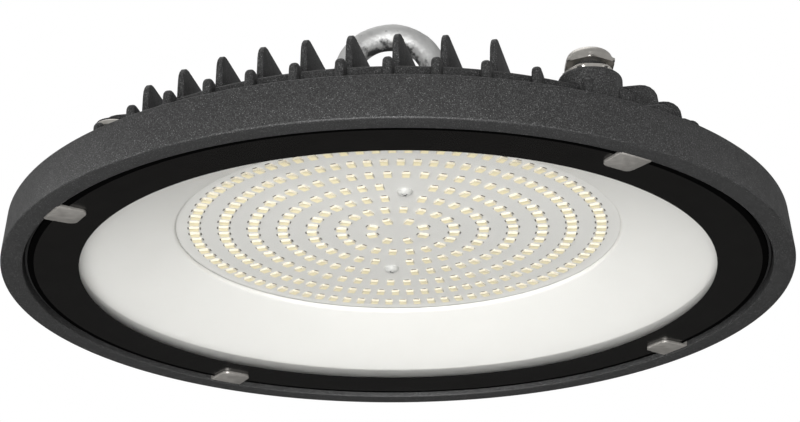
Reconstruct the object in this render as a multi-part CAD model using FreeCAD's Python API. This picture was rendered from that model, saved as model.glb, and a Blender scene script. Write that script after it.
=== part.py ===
import FreeCAD, Part
import math
import os

# High bay light: a finned die-cast housing, a clipped front glass, and a round LED board
# behind a white cone. All sizes are millimetres; +Z is up, away from the lit face, and
# Z = 0 is the plane of the rim's bottom lip. Azimuths are degrees from -Y towards +X.

V = FreeCAD.Vector
UP = V(0, 0, 1)

# ---- shared fits ----
SLIDE_GAP = 0.1          # between parts that slot together
SCREW_GAP = 0.2          # radial play round a screw shank
BITE = 0.6               # how far a cast feature runs into its neighbour
HOLE_DEPTH = 0.5         # a blind hole goes this much deeper than its screw

# ---- rim and lip ----
RIM_R = 140.0            # widest radius of the housing
RIM_HEIGHT = 15.85       # bottom lip to the top of the rim wall
RIM_TAPER = 1.8          # how far the rim wall leans in on its way up
RIM_EDGE = 0.8           # chamfer of the bottom outer edge
RIM_TOP_EDGE = 1.2       # chamfer of the rim's top outer edge
RIM_WALL = 4.0           # rim thickness above the glass seat
LIP_W = 7.8              # width of the flat bottom lip

# ---- front glass ----
GLASS_GROOVE = 1.7       # open groove between the lip and the edge of the glass
GLASS_T = 4.0
GLASS_RECESS = 1.2       # lip plane to the glass face
GLASS_CHAMFER = 0.4

# ---- glass gasket ----
GASKET_T = 1.5           # rubber squeezed between glass and seat
GASKET_SEAT_W = 8.5      # radial width of the flat ring
SKIRT_T = 0.9            # thin collar round the edge of the glass
SKIRT_RECESS = 2.2       # lip plane to the foot of that collar

# ---- cavity and deck ----
SEAT_W = 11.5            # how far the seat reaches in under the glass
SEAT_T = 4.3             # thickness of the cast seat
DECK_T = 6.2             # plate that carries the LED board and the fins
CAVITY_WALL = 3.5        # wall between the cavity and the channel behind the rim
DECK_DRAFT = 2.5         # how far that wall leans in on its way up

# ---- LED board stack ----
BOARD_R = 84.0
BOARD_T = 1.6
PAD_T = 0.3
PAD_MARGIN = 2.0
LED_FACE_DEPTH = 18.55   # lip plane to the lit faces
LED_T = 0.75
LED_LENGTH = 3.5         # radial
LED_WIDTH = 2.8
LED_SEAT = 0.02          # solder joint under each package

# ---- LED rings: first radius, step, and (places, azimuth of one place) from the inside ----
RING_FIRST_R = 9.85
RING_STEP = 10.49
RING_COUNTS = [8, 20, 30, 42, 52, 70, 84]
RING_TURNS = [-21.5, 5.5, 3.8, 0.0, 3.2, 1.0, -1.4]
SCREW_CLEARANCE = 6.3    # an LED place whose centre is nearer to a board screw stays empty

# ---- board screws ----
BOARD_SCREW_R = 37.0
BOARD_SCREW_TURN = 3.8
BOARD_SCREW_D = 3.0
BOARD_SCREW_HEAD_D = 5.4
BOARD_SCREW_HEAD_T = 1.9
BOARD_SCREW_LENGTH = 5.5
DRIVE_D = 2.4            # cross recess, as a plain round pocket
DRIVE_DEPTH = 0.9

# ---- reflector ----
REFLECTOR_LED_GAP = 6.71  # from the middle of the outer LED ring to the collar
REFLECTOR_MOUTH_GAP = 5.4  # from the cone's mouth to the cavity wall
REFLECTOR_T = 0.8
REFLECTOR_GAP = 0.3      # between the inner collar and the board face
REFLECTOR_COLLAR = 1.4   # height of that collar
REFLECTOR_FLANGE_W = 2.6   # how far the flange lies on the seat

# ---- fins ----
FIN_TURN = -11.6         # azimuth of the first sector's centreline
SECTORS = 4
FIN_PITCH = 14.86
FINS_PER_SIDE = 6        # each side of a sector's centreline
FIN_T = 2.5              # at the deck
FIN_TIP_T = 1.5          # at the top
FIN_TOP = 43.8           # height of the tall fins
FIN_SET_BACK = 7.4       # from the deck's top edge to the fins
FIN_CORNER = 6.0
LOW_FIN_TOP = 31.0       # the fins beside the cable boss
FIN_DIAGONAL_GAP = 2.6   # from a fin's inner end to the sector's edge
SPANNER_ROOM = 15.0      # tall fins stay this far from the cable boss axis
BOSS_ROOM = 13.0         # and this far from the vent boss axis

# ---- nubs at the fin roots ----
NUB_OUT = 2.1            # how far a nub stands out from the foot of the deck
NUB_IN = 3.2             # and how far it runs in from the deck's top edge
NUB_TOP = 28.8
NUB_CORNER = 3.0
NUB_TOE_TOP = 15.4

# ---- bosses on the sector edges ----
BOSS_SET_BACK = 6.0      # from the deck's top edge to both boss axes
CABLE_BOSS_D = 21.0
CABLE_BOSS_TOP = 34.0
VENT_BOSS_D = 18.0
VENT_BOSS_TOP = 32.6
BOSS_EDGE = 1.6

# ---- cable gland ----
GLAND_THREAD_D = 12.0
GLAND_THREAD_L = 7.0
GLAND_AF = 15.6          # across flats
GLAND_SPIN = -26.0       # how far a corner stands from the outward line
GLAND_BODY_T = 3.6
GLAND_NECK_D = 11.0
GLAND_NECK_GAP = 1.3     # between the body hexagon and the cap
CAP_HEX_T = 1.5
CAP_DOME_T = 3.0
CAP_DOME_KNEE = 0.8      # where the dome breaks from steep to flat, of its radius
CAP_WALL = 1.6
CABLE_BORE_D = 6.5
GLAND_RING_T = 0.6       # O-ring seat, squeezed
GLAND_RING_SECTION = 1.5

# ---- vent plug ----
VENT_THREAD_D = 8.0
VENT_THREAD_L = 6.0
VENT_HEAD_D = 14.0
VENT_RIM_T = 1.4
VENT_DOME_T = 1.4
VENT_BORE_D = 2.0
VENT_RING_T = 0.6
VENT_RING_INSET = 0.8    # the O-ring stays this far inside the head

# ---- driver pot and cover ----
POT_R = 55.0
POT_WALL = 4.0
POT_TOP = 50.6
COVER_T = 4.0
COVER_BOSS_D = 30.0
COVER_BOSS_T = 2.0
COVER_EDGE = 1.0
COVER_SCREWS = 6
COVER_SCREW_INSET = 7.4  # from the outside of the pot to the screw circle
COVER_SCREW_TURN = 20.0
COVER_SCREW_D = 4.0
COVER_SCREW_L = 14.0
COVER_SCREW_AF = 7.0
COVER_SCREW_HEAD_T = 2.6
PILLAR_D = 9.0
COVER_GASKET_W = 2.0
COVER_GROOVE = 0.6       # depth of the groove in the pot wall

# ---- eye bolt ----
EYE_SHIFT = -2.2         # the ring leans this far off the axis at its centre
EYE_ROD_D = 10.2
EYE_MEAN_R = 16.3
EYE_COLLAR_D = 24.0
EYE_COLLAR_T = 3.0
EYE_CENTRE_RISE = 23.4   # collar foot to the ring's centre
EYE_NECK_D = 13.0
EYE_SECTION_SIDES = 10   # flats round the forged rod
EYE_THREAD_D = 10.0
EYE_THREAD_L = 17.0
NUT_AF = 17.0
NUT_T = 8.0
WASHER_D = 20.0
WASHER_T = 2.0

# ---- spring clips ----
CLIPS = 4
CLIP_TURN = 34.0
CLIP_ROOT_W = 12.6
CLIP_TIP_W = 11.2
CLIP_REACH = 9.5         # how far the tip lies over the glass
CLIP_T = 1.0
CLIP_BEND = 0.8          # outer round of the bend
CLIP_TIP_CORNER = 2.5
CLIP_LEG_END = 9.2       # height of the leg's end inside its slot
CLIP_SLOT_END = 9.5
CLIP_LIFT = 0.2          # the clip's face stays above the lip plane

# ---- driver inside the pot ----
STANDOFF_D = 5.6
STANDOFF_H = 5.0
STANDOFF_X = 27.0
STANDOFF_SET_IN = 4.0
DRIVER_L = 62.0
DRIVER_W = 50.0
DRIVER_T = 1.6
DRIVER_SCREW_D = 2.5
DRIVER_SCREW_L = 5.0
DRIVER_SCREW_AF = 4.5
DRIVER_SCREW_HEAD_T = 1.8
CORE_L = 24.0            # transformer
CORE_W = 14.0
CORE_H = 13.0
CORE_X = 5.0
CORE_SET_IN = 6.6        # from the board's edge to the core's middle
CORE_LIMB = 4.0          # thickness of the core's legs
CORE_YOKE = 2.0          # and of its top and bottom
COIL_OVERHANG = 1.0      # the coil stands this far out of the core's window
CAP_D = 10.0             # electrolytic capacitors
CAP_H = 15.0
CAP_X = -18.0
CAP_SET_IN = 9.5         # from the board's edge to the capacitors
CAP_PITCH = 12.0
CAP_COUNT = 2
CHOKE_D = 13.0
CHOKE_HOLE_D = 5.0
CHOKE_T = 6.5
CHOKE_X = -16.0
CHOKE_SET_IN = 12.0
TERMINAL_L = 15.0
TERMINAL_W = 8.0
TERMINAL_H = 9.0
TERMINAL_X = 17.0
TERMINAL_SET_IN = 5.0

# ---- lead ways under the deck ----
DUCT_W = 6.4
DUCT_DEPTH = 3.8
DUCT_INNER_R = 41.0
LEAD_HOLE_D = 6.0
LED_DUCT_OUTER_R = 88.0

# ---- radii and levels worked out from the sizes above ----
RIM_TOP_R = RIM_R - RIM_TAPER
LIP_INNER_R = RIM_R - LIP_W
GLASS_R = LIP_INNER_R - GLASS_GROOVE
SEAT_INNER_R = GLASS_R - SEAT_W
DECK_FOOT_R = SEAT_INNER_R + CAVITY_WALL
DECK_EDGE_R = DECK_FOOT_R - DECK_DRAFT
NUB_OUTER_R = DECK_FOOT_R + NUB_OUT
NUB_INNER_R = DECK_EDGE_R - NUB_IN
FIN_OUTER_R = DECK_EDGE_R - FIN_SET_BACK
BOSS_R = DECK_EDGE_R - BOSS_SET_BACK
COVER_SCREW_R = POT_R - COVER_SCREW_INSET
REFLECTOR_INNER_R = RING_FIRST_R + (len(RING_COUNTS) - 1) * RING_STEP + REFLECTOR_LED_GAP
CLIP_TIP_R = GLASS_R - CLIP_REACH
REFLECTOR_MOUTH_R = SEAT_INNER_R - REFLECTOR_MOUTH_GAP
REFLECTOR_FLANGE_R = SEAT_INNER_R + REFLECTOR_FLANGE_W
GLASS_BACK = GLASS_RECESS + GLASS_T
SEAT_Z = GLASS_BACK + GASKET_T
SEAT_TOP = SEAT_Z + SEAT_T
LED_BACK = LED_FACE_DEPTH + LED_T + LED_SEAT
BOARD_FACE = LED_BACK
BOARD_BACK = BOARD_FACE + BOARD_T
DECK_Z = BOARD_BACK + PAD_T
DECK_TOP = DECK_Z + DECK_T
CABLE_TURN = FIN_TURN + 180.0 / SECTORS
VENT_TURN = CABLE_TURN - 360.0 / SECTORS
COVER_TOP = POT_TOP + COVER_T
EYE_SEAT = COVER_TOP + COVER_BOSS_T
BOARD_Z = DECK_TOP + STANDOFF_H
COMPONENT_Z = BOARD_Z + DRIVER_T
STANDOFF_Y = DRIVER_W / 2 - STANDOFF_SET_IN
CORE_Y = DRIVER_W / 2 - CORE_SET_IN
CHOKE_Y = DRIVER_W / 2 - CHOKE_SET_IN
CAP_Y = CAP_SET_IN - DRIVER_W / 2
TERMINAL_Y = TERMINAL_SET_IN - DRIVER_W / 2


def at(azimuth, radius, z=0.0):
    """A point at an azimuth, measured from -Y towards +X."""
    a = math.radians(azimuth)
    return V(radius * math.sin(a), -radius * math.cos(a), z)


def cylinder(diameter, z0, z1, centre=V(0, 0, 0)):
    return Part.makeCylinder(diameter / 2, z1 - z0, V(centre.x, centre.y, z0), UP)


def ring(outer_r, inner_r, z0, z1):
    return cylinder(2 * outer_r, z0, z1).cut(cylinder(2 * inner_r, z0 - 1, z1 + 1))


def revolve(points):
    """A solid turned round Z from (radius, height) points."""
    outline = Part.makePolygon([V(r, 0, z) for r, z in points + points[:1]])
    return Part.Face(outline).revolve(V(0, 0, 0), UP, 360)


def hexagon(across_flats, z0, z1, centre, turn=0.0):
    r = across_flats / math.sqrt(3)
    corners = [
        V(centre.x, centre.y, z0) + at(turn + 60 * k, r) for k in range(6)
    ]
    return Part.Face(Part.makePolygon(corners + corners[:1])).extrude(V(0, 0, z1 - z0))


def box(length, width, height, centre, z0):
    corner = V(centre.x - length / 2, centre.y - width / 2, z0)
    return Part.makeBox(length, width, height, corner)


def turned(shape, degrees):
    copy = shape.copy()
    copy.rotate(V(0, 0, 0), UP, degrees)
    return copy


def duct(azimuth, r0, r1, z0, z1):
    """A straight radial channel."""
    block = Part.makeBox(DUCT_W, r1 - r0, z1 - z0, V(-DUCT_W / 2, -r1, z0))
    return turned(block, azimuth)


# ---- fins and nubs, drawn for a sector that faces -Y, then turned ----
def plate(outline, offset, base_z, top_z):
    """An upright plate that thins towards its top, trimmed to a side outline.

    The outline is a face in the YZ plane; offset is the plate's place along X."""
    section = Part.makePolygon([
        V(offset - FIN_T / 2, 0, base_z),
        V(offset - FIN_TIP_T / 2, 0, top_z),
        V(offset + FIN_TIP_T / 2, 0, top_z),
        V(offset + FIN_T / 2, 0, base_z),
        V(offset - FIN_T / 2, 0, base_z),
    ])
    bar = Part.Face(section).extrude(V(0, -RIM_R, 0))
    return bar.common(outline.extrude(V(2 * FIN_T, 0, 0)))


def side_outline(offset, out, inner, base_z, top_z, corner, toe=None):
    """The side view of a fin: out and inner are distances from the centre, and the top
    outer corner is round. A toe adds a low part further out, as (distance, height)."""
    x = offset - FIN_T
    bend = corner * (1 - math.sqrt(0.5))
    start = V(x, -out, top_z - corner)
    middle = V(x, -out + bend, top_z - bend)
    end = V(x, -out + corner, top_z)
    foot = [V(x, -inner, base_z), V(x, -out, base_z)]
    if toe:
        toe_out, toe_top = toe
        foot = [
            V(x, -inner, base_z), V(x, -toe_out, base_z),
            V(x, -toe_out, toe_top), V(x, -out, toe_top),
        ]
    corners = foot + [start]
    edges = [Part.makeLine(p, q) for p, q in zip(corners, corners[1:])]
    edges.append(Part.Arc(start, middle, end).toShape())
    edges.append(Part.makeLine(end, V(x, -inner, top_z)))
    edges.append(Part.makeLine(V(x, -inner, top_z), foot[0]))
    return Part.Face(Part.Wire(edges))


def reach(radius, offset):
    """How far out a line parallel to the sector's centreline meets a circle."""
    return math.sqrt(radius ** 2 - offset ** 2)


def nub(offset):
    """The low root of a fin, which crosses the channel behind the rim."""
    base = SEAT_TOP - BITE
    toe = (reach(RIM_TOP_R - RIM_WALL + BITE, offset), NUB_TOE_TOP)
    outline = side_outline(
        offset, reach(NUB_OUTER_R, offset), reach(NUB_INNER_R, offset),
        base, NUB_TOP, NUB_CORNER, toe,
    )
    return plate(outline, offset, base, NUB_TOP)


def fin(turn, offset):
    """The plate behind a nub, or None where the sector leaves no room for one."""
    outer = reach(FIN_OUTER_R, offset)
    inner = abs(offset) + FIN_DIAGONAL_GAP
    if abs(offset) < POT_R - FIN_T:
        inner = max(inner, reach(POT_R, offset) - BITE)
    if outer - inner < FIN_CORNER * 2:
        return None
    top = LOW_FIN_TOP if near_boss(turn, offset, outer, inner) else FIN_TOP
    base = DECK_TOP - BITE
    corner = min(FIN_CORNER, top - DECK_TOP - BITE)
    return plate(side_outline(offset, outer, inner, base, top, corner), offset, base, top)


def sector_fins(turn):
    """The fins and nubs of one sector."""
    made = []
    for step in range(-FINS_PER_SIDE, FINS_PER_SIDE):
        offset = (step + 0.5) * FIN_PITCH
        made += [nub(offset), fin(turn, offset)]
    return [turned(shape, turn) for shape in made if shape]


def near_boss(turn, offset, outer, inner):
    """Whether a fin passes too close to a boss to stand tall."""
    for boss_turn, room in ((CABLE_TURN, SPANNER_ROOM), (VENT_TURN, BOSS_ROOM)):
        a = math.radians(boss_turn - turn)
        side = BOSS_R * math.sin(a)
        out = BOSS_R * math.cos(a)
        along = min(max(out, inner), outer)
        if out > 0 and math.hypot(side - offset, out - along) < room:
            return True
    return False


# ---- housing: one casting ----
def boss(turn, diameter, top):
    centre = at(turn, BOSS_R)
    shape = cylinder(diameter, DECK_Z, top - BOSS_EDGE, centre)
    cap = Part.makeCone(
        diameter / 2, diameter / 2 - BOSS_EDGE, BOSS_EDGE,
        V(centre.x, centre.y, top - BOSS_EDGE), UP,
    )
    return shape.fuse(cap)


def housing():
    body = revolve([
        (LIP_INNER_R, 0),
        (RIM_R - RIM_EDGE, 0),
        (RIM_R, RIM_EDGE),
        (RIM_TOP_R, RIM_HEIGHT - RIM_TOP_EDGE),
        (RIM_TOP_R - RIM_TOP_EDGE, RIM_HEIGHT),
        (RIM_TOP_R - RIM_WALL, RIM_HEIGHT),
        (RIM_TOP_R - RIM_WALL, SEAT_TOP),
        (DECK_FOOT_R, SEAT_TOP),
        (DECK_FOOT_R, DECK_Z - BITE),
        (DECK_EDGE_R, DECK_TOP),
        (0, DECK_TOP),
        (0, DECK_Z),
        (SEAT_INNER_R, DECK_Z),
        (SEAT_INNER_R, SEAT_Z),
        (LIP_INNER_R, SEAT_Z),
    ])
    pot = ring(POT_R, POT_R - POT_WALL, DECK_TOP - BITE, POT_TOP)
    pillar_core = cylinder(2 * POT_R - POT_WALL, DECK_TOP - BITE, POT_TOP)
    pillars = [
        cylinder(PILLAR_D, DECK_TOP - BITE, POT_TOP, at(turn, COVER_SCREW_R)).common(pillar_core)
        for turn in cover_screw_turns()
    ]
    standoffs = [
        cylinder(STANDOFF_D, DECK_TOP - BITE, BOARD_Z, V(x, y, 0)) for x, y in standoff_places()
    ]
    bosses = [
        boss(CABLE_TURN, CABLE_BOSS_D, CABLE_BOSS_TOP),
        boss(VENT_TURN, VENT_BOSS_D, VENT_BOSS_TOP),
    ]
    fins = []
    for sector in range(SECTORS):
        fins += sector_fins(FIN_TURN + sector * 360.0 / SECTORS)
    body = body.multiFuse([pot] + pillars + standoffs + bosses + fins)

    cuts = []
    ring_groove = ring(
        gasket_mid_r() + COVER_GASKET_W / 2 + SLIDE_GAP,
        gasket_mid_r() - COVER_GASKET_W / 2 - SLIDE_GAP,
        POT_TOP - COVER_GROOVE, POT_TOP + 1,
    )
    cuts.append(ring_groove)
    for turn in cover_screw_turns():
        cuts.append(cylinder(
            COVER_SCREW_D, POT_TOP - (COVER_SCREW_L - COVER_T) - HOLE_DEPTH, POT_TOP + 1,
            at(turn, COVER_SCREW_R),
        ))
    for x, y in standoff_places():
        cuts.append(cylinder(
            DRIVER_SCREW_D, BOARD_Z - (DRIVER_SCREW_L - DRIVER_T) - HOLE_DEPTH, BOARD_Z + 1,
            V(x, y, 0),
        ))
    for turn in board_screw_turns():
        cuts.append(cylinder(
            BOARD_SCREW_D, DECK_Z - 1, BOARD_FACE + BOARD_SCREW_LENGTH + HOLE_DEPTH,
            at(turn, BOARD_SCREW_R),
        ))
    cuts.append(cylinder(
        GLAND_THREAD_D, DECK_Z - 1, CABLE_BOSS_TOP + 1, at(CABLE_TURN, BOSS_R)))
    cuts.append(cylinder(
        VENT_THREAD_D, DECK_Z - 1, VENT_BOSS_TOP + 1, at(VENT_TURN, BOSS_R)))
    duct_roof = DECK_Z + DUCT_DEPTH
    cuts.append(duct(CABLE_TURN, DUCT_INNER_R, BOSS_R, DECK_Z - 1, duct_roof))
    cuts.append(duct(CABLE_TURN + 180, DUCT_INNER_R, LED_DUCT_OUTER_R, DECK_Z - 1, duct_roof))
    for turn in (CABLE_TURN, CABLE_TURN + 180):
        cuts.append(cylinder(
            LEAD_HOLE_D, DECK_Z, DECK_TOP + 1, at(turn, DUCT_INNER_R + LEAD_HOLE_D / 2)))
    for turn in clip_turns():
        cuts.append(clip_slot(turn))
    return body.cut(Part.makeCompound(cuts)).removeSplitter()


def gasket_mid_r():
    return POT_R - POT_WALL / 2


def cover_screw_turns():
    return [COVER_SCREW_TURN + k * 360.0 / COVER_SCREWS for k in range(COVER_SCREWS)]


def standoff_places():
    return [(sx * STANDOFF_X, sy * STANDOFF_Y) for sx in (-1, 1) for sy in (-1, 1)]


def board_screw_turns():
    return [BOARD_SCREW_TURN, BOARD_SCREW_TURN + 180]


def clip_turns():
    return [CLIP_TURN + k * 360.0 / CLIPS for k in range(CLIPS)]


# ---- clips: a tongue over the glass and a leg in a slot behind the lip ----
def clip_leg_r():
    """Inner face of the leg, just outside the gasket collar."""
    return GLASS_R + SLIDE_GAP + SKIRT_T + SLIDE_GAP


def clip_slot(turn):
    width = CLIP_ROOT_W + 2 * SLIDE_GAP
    depth = clip_leg_r() + CLIP_T + SLIDE_GAP
    inner = clip_leg_r() - SLIDE_GAP
    slot = Part.makeBox(width, depth - inner, CLIP_SLOT_END + 1, V(-width / 2, -depth, -1))
    return turned(slot, turn)


def clip(turn):
    back_r = clip_leg_r() + CLIP_T
    face = CLIP_LIFT
    tongue = Part.makePolygon([
        V(-CLIP_ROOT_W / 2, -back_r, face),
        V(CLIP_ROOT_W / 2, -back_r, face),
        V(CLIP_TIP_W / 2, -CLIP_TIP_R, face),
        V(-CLIP_TIP_W / 2, -CLIP_TIP_R, face),
        V(-CLIP_ROOT_W / 2, -back_r, face),
    ])
    plate_shape = Part.Face(tongue).extrude(V(0, 0, CLIP_T))
    tips = [
        e for e in plate_shape.Edges
        if e.BoundBox.ZLength > CLIP_T / 2 and abs(e.BoundBox.YMax + CLIP_TIP_R) < 0.01
    ]
    plate_shape = plate_shape.makeFillet(CLIP_TIP_CORNER, tips)
    leg = Part.makeBox(
        CLIP_ROOT_W, CLIP_T, CLIP_LEG_END - face, V(-CLIP_ROOT_W / 2, -back_r, face))
    shape = plate_shape.fuse(leg).removeSplitter()
    bend = [
        e for e in shape.Edges
        if e.BoundBox.XLength > CLIP_ROOT_W / 2
        and abs(e.BoundBox.YMax + back_r) < 0.01 and abs(e.BoundBox.ZMax - face) < 0.01
    ]
    return turned(shape.makeFillet(CLIP_BEND, bend), turn)


# ---- glass and its gasket ----
def front_glass():
    return revolve([
        (0, GLASS_RECESS),
        (GLASS_R - GLASS_CHAMFER, GLASS_RECESS),
        (GLASS_R, GLASS_RECESS + GLASS_CHAMFER),
        (GLASS_R, GLASS_BACK),
        (0, GLASS_BACK),
    ])


def glass_gasket():
    collar_in = GLASS_R + SLIDE_GAP
    collar_out = collar_in + SKIRT_T
    inner = collar_out - GASKET_SEAT_W
    return revolve([
        (inner, GLASS_BACK),
        (collar_in, GLASS_BACK),
        (collar_in, SKIRT_RECESS),
        (collar_out, SKIRT_RECESS),
        (collar_out, SEAT_Z),
        (inner, SEAT_Z),
    ])


# ---- reflector: a white cone with a collar over the board and a flange on the seat ----
def reflector():
    collar_end = BOARD_FACE - REFLECTOR_GAP
    bend = collar_end - REFLECTOR_COLLAR
    mouth = SEAT_Z - REFLECTOR_T
    t = REFLECTOR_T
    return revolve([
        (REFLECTOR_INNER_R, collar_end),
        (REFLECTOR_INNER_R, bend),
        (REFLECTOR_MOUTH_R, mouth),
        (REFLECTOR_FLANGE_R, mouth),
        (REFLECTOR_FLANGE_R, SEAT_Z),
        (REFLECTOR_MOUTH_R + t / 2, SEAT_Z),
        (REFLECTOR_INNER_R + t, bend + t),
        (REFLECTOR_INNER_R + t, collar_end),
    ])


# ---- LED board, its packages, pad and screws ----
def led_board():
    board = cylinder(2 * BOARD_R, BOARD_FACE, BOARD_BACK)
    for turn in board_screw_turns():
        board = board.cut(cylinder(
            BOARD_SCREW_D + 2 * SCREW_GAP, BOARD_FACE - 1, BOARD_BACK + 1,
            at(turn, BOARD_SCREW_R),
        ))
    return board


def thermal_pad():
    pad = cylinder(2 * (BOARD_R - PAD_MARGIN), BOARD_BACK, DECK_Z)
    for turn in board_screw_turns():
        pad = pad.cut(cylinder(
            BOARD_SCREW_D + 2 * SCREW_GAP, BOARD_BACK - 1, DECK_Z + 1, at(turn, BOARD_SCREW_R),
        ))
    return pad


def led_ring(index):
    places = RING_COUNTS[index]
    phase = RING_TURNS[index]
    radius = RING_FIRST_R + index * RING_STEP
    screws = [at(turn, BOARD_SCREW_R) for turn in board_screw_turns()]
    packages = []
    for k in range(places):
        turn = phase + k * 360.0 / places
        centre = at(turn, radius)
        if min((centre - s).Length for s in screws) < SCREW_CLEARANCE:
            continue
        package = Part.makeBox(
            LED_WIDTH, LED_LENGTH, LED_T + LED_SEAT,
            V(-LED_WIDTH / 2, -radius - LED_LENGTH / 2, LED_FACE_DEPTH),
        )
        packages.append(turned(package, turn))
    return Part.makeCompound(packages)


def pan_screw(centre):
    """A pan-head screw seen from below, with a round recess for the driver."""
    r = BOARD_SCREW_HEAD_D / 2
    crown = BOARD_FACE - BOARD_SCREW_HEAD_T
    shank_r = BOARD_SCREW_D / 2 - SLIDE_GAP
    screw = revolve([
        (0, crown + DRIVE_DEPTH),
        (DRIVE_D / 2, crown + DRIVE_DEPTH),
        (DRIVE_D / 2, crown),
        (r - BOARD_SCREW_HEAD_T / 2, crown),
        (r, crown + BOARD_SCREW_HEAD_T / 2),
        (r, BOARD_FACE),
        (shank_r, BOARD_FACE),
        (shank_r, BOARD_FACE + BOARD_SCREW_LENGTH),
        (0, BOARD_FACE + BOARD_SCREW_LENGTH),
    ])
    screw.translate(centre)
    return screw


def hex_screw(centre, seat, across_flats, head_t, shank_d, shank_l):
    """A hexagon-head screw driven down onto a seat."""
    head = hexagon(across_flats, seat, seat + head_t, centre)
    return head.fuse(cylinder(shank_d, seat - shank_l, seat, centre))


def board_screws():
    return Part.makeCompound([
        pan_screw(at(turn, BOARD_SCREW_R)) for turn in board_screw_turns()
    ])


# ---- cable gland ----
def gland_axis():
    return at(CABLE_TURN, BOSS_R)


def gland_seat():
    return CABLE_BOSS_TOP + GLAND_RING_T


def gland_body():
    centre = gland_axis()
    seat = gland_seat()
    top = seat + GLAND_BODY_T
    nut = hexagon(GLAND_AF, seat, top, centre, CABLE_TURN + GLAND_SPIN)
    neck = cylinder(GLAND_NECK_D, top - 1, top + GLAND_NECK_GAP + CAP_HEX_T, centre)
    thread = cylinder(
        GLAND_THREAD_D - 2 * SLIDE_GAP, CABLE_BOSS_TOP - GLAND_THREAD_L, seat + 1, centre)
    bore = cylinder(CABLE_BORE_D, 0, 2 * FIN_TOP, centre)
    return nut.fuse(neck).fuse(thread).cut(bore).removeSplitter()


def gland_o_ring():
    centre = gland_axis()
    outer = cylinder(
        GLAND_THREAD_D + 2 * GLAND_RING_SECTION, CABLE_BOSS_TOP, gland_seat(), centre)
    return outer.cut(cylinder(GLAND_THREAD_D, 0, 2 * FIN_TOP, centre))


def gland_cap():
    centre = gland_axis()
    foot = gland_seat() + GLAND_BODY_T + GLAND_NECK_GAP
    shoulder = foot + CAP_HEX_T
    crown = shoulder + CAP_DOME_T
    rim_r = GLAND_AF / 2
    bore_r = CABLE_BORE_D / 2
    throat_r = bore_r + CAP_WALL
    dome = revolve([
        (bore_r, crown),
        (throat_r, crown),
        (rim_r * CAP_DOME_KNEE, crown - CAP_DOME_T * (1 - CAP_DOME_KNEE)),
        (rim_r, shoulder),
        (throat_r, shoulder),
        (throat_r, crown - CAP_WALL),
        (bore_r, crown - CAP_WALL),
    ])
    dome.translate(centre)
    nut = hexagon(GLAND_AF, foot, shoulder, centre, CABLE_TURN + GLAND_SPIN)
    nut = nut.cut(cylinder(GLAND_NECK_D + 2 * SLIDE_GAP, foot - 1, shoulder + 1, centre))
    return dome.fuse(nut).removeSplitter()


def gland_seal():
    centre = gland_axis()
    foot = gland_seat() + GLAND_BODY_T + GLAND_NECK_GAP + CAP_HEX_T
    top = foot + CAP_DOME_T - CAP_WALL
    ring_shape = cylinder(CABLE_BORE_D + 2 * CAP_WALL - 2 * SLIDE_GAP, foot, top, centre)
    return ring_shape.cut(cylinder(CABLE_BORE_D, 0, 2 * FIN_TOP, centre))


# ---- vent plug ----
def vent_plug():
    seat = VENT_BOSS_TOP + VENT_RING_T
    shoulder = seat + VENT_RIM_T
    head_r = VENT_HEAD_D / 2
    thread_r = VENT_THREAD_D / 2 - SLIDE_GAP
    bore_r = VENT_BORE_D / 2
    plug = revolve([
        (0, shoulder),
        (bore_r, shoulder),
        (bore_r, VENT_BOSS_TOP - VENT_THREAD_L),
        (thread_r, VENT_BOSS_TOP - VENT_THREAD_L),
        (thread_r, seat),
        (head_r, seat),
        (head_r, shoulder),
        (head_r * CAP_DOME_KNEE, shoulder + VENT_DOME_T * CAP_DOME_KNEE),
        (head_r / 2, shoulder + VENT_DOME_T),
        (0, shoulder + VENT_DOME_T),
    ])
    plug.translate(at(VENT_TURN, BOSS_R))
    return plug


def vent_o_ring():
    centre = at(VENT_TURN, BOSS_R)
    outer = cylinder(
        VENT_HEAD_D - 2 * VENT_RING_INSET, VENT_BOSS_TOP, VENT_BOSS_TOP + VENT_RING_T, centre)
    return outer.cut(cylinder(VENT_THREAD_D, 0, 2 * FIN_TOP, centre))


# ---- driver cover, gasket and screws ----
def driver_cover():
    cover = revolve([
        (0, POT_TOP),
        (POT_R, POT_TOP),
        (POT_R, COVER_TOP - COVER_EDGE),
        (POT_R - COVER_EDGE, COVER_TOP),
        (COVER_BOSS_D / 2 + COVER_BOSS_T, COVER_TOP),
        (COVER_BOSS_D / 2, EYE_SEAT),
        (0, EYE_SEAT),
    ])
    cover = cover.cut(cylinder(EYE_THREAD_D + 2 * SCREW_GAP, POT_TOP - 1, EYE_SEAT + 1))
    for turn in cover_screw_turns():
        cover = cover.cut(cylinder(
            COVER_SCREW_D + 2 * SCREW_GAP, POT_TOP - 1, COVER_TOP + 1, at(turn, COVER_SCREW_R),
        ))
    return cover


def cover_gasket():
    half = COVER_GASKET_W / 2
    return ring(gasket_mid_r() + half, gasket_mid_r() - half, POT_TOP - COVER_GROOVE, POT_TOP)


def cover_screws():
    return Part.makeCompound([
        hex_screw(
            at(turn, COVER_SCREW_R), COVER_TOP, COVER_SCREW_AF, COVER_SCREW_HEAD_T,
            COVER_SCREW_D - 2 * SLIDE_GAP, COVER_SCREW_L,
        )
        for turn in cover_screw_turns()
    ])


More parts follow.
